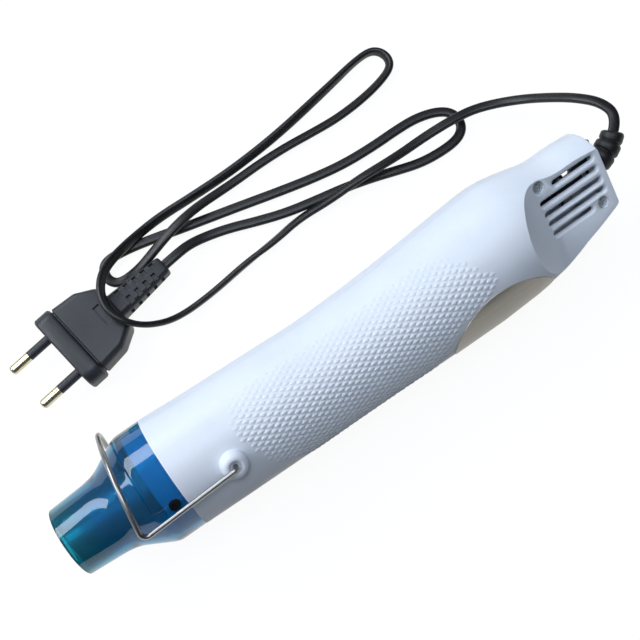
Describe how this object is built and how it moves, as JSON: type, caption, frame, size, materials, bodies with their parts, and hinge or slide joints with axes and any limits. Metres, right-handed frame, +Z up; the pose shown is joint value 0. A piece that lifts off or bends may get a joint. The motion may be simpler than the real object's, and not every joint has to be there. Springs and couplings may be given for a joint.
{
  "type": "embossing heat tool",
  "caption": "Slim hand-held hot-air tool with a tapered nozzle cover, a swinging wire support, a vented tail and a flat mains cord with a two-pin plug.",
  "frame": {"origin": "on the table under the middle of the tool's box, cord and plug left out", "axes": "+X along the tool from the nozzle to the tail, +Z up from the table"},
  "size_m": [0.258, 0.1316, 0.052],
  "materials": {
    "shell": "satin moulded",
    "cover": "polished, translucent",
    "screw": "blackened steel",
    "wire": "drawn steel",
    "label": "satin foil",
    "tube": "rolled steel",
    "mica": "matte",
    "coil": "oxidised wire",
    "metal": "plated",
    "inner": "moulded",
    "fan": "moulded",
    "board": "laminate",
    "chips": "moulded",
    "switch": "moulded",
    "rocker": "moulded",
    "relief": "satin",
    "lead": "satin",
    "plug": "satin moulded",
    "brass": "plated",
    "cord": "satin"
  },
  "bodies": {
    "tool": {"near_shell": "shell", "far_shell": "shell", "nozzle_cover": "cover", "cover_screws": "screw", "tail_screws": "screw", "rating_label": "label", "heater_tube": "tube", "mica_sleeve": "mica", "mica_cross": "mica", "heating_coil": "coil", "thermal_cutout": "metal", "thermal_fuse": "metal", "heater_bulkhead": "inner", "fan_duct": "inner", "motor_can": "metal", "motor_end_cap": "inner", "rectifier_board": "board", "board_parts": "chips", "switch_frame": "switch", "strain_relief": "relief", "cord_clamp": "inner", "clamp_screws": "wire", "mains_leads": "lead", "heater_leads": "lead", "motor_leads": "lead", "plug_body": "plug", "plug_pins": "brass", "plug_pin_sleeves": "plug", "power_cord": "cord"},
    "bail": {"bail_wire": "wire"},
    "fan": {"motor_shaft": "wire", "fan_impeller": "fan"},
    "rocker": {"switch_rocker": "rocker"}
  },
  "joints": [
    {"name": "bail_swing", "type": "hinge", "parent": "tool", "child": "bail", "pos_m": [-0.06443, -0.00103, 0.02429], "axis": [0, 0.5948, -0.8039], "range_deg": [-7, 113]},
    {"name": "fan_spin", "type": "hinge", "parent": "tool", "child": "fan", "pos_m": [-0.04251, -0.00103, 0.02429], "axis": [1, 0, 0], "continuous": true},
    {"name": "rocker_tilt", "type": "hinge", "parent": "tool", "child": "rocker", "pos_m": [0.10747, 0.01038, 0.03274], "axis": [0, 0.8039, 0.5948], "range_deg": [-6, 6]}
  ]
}
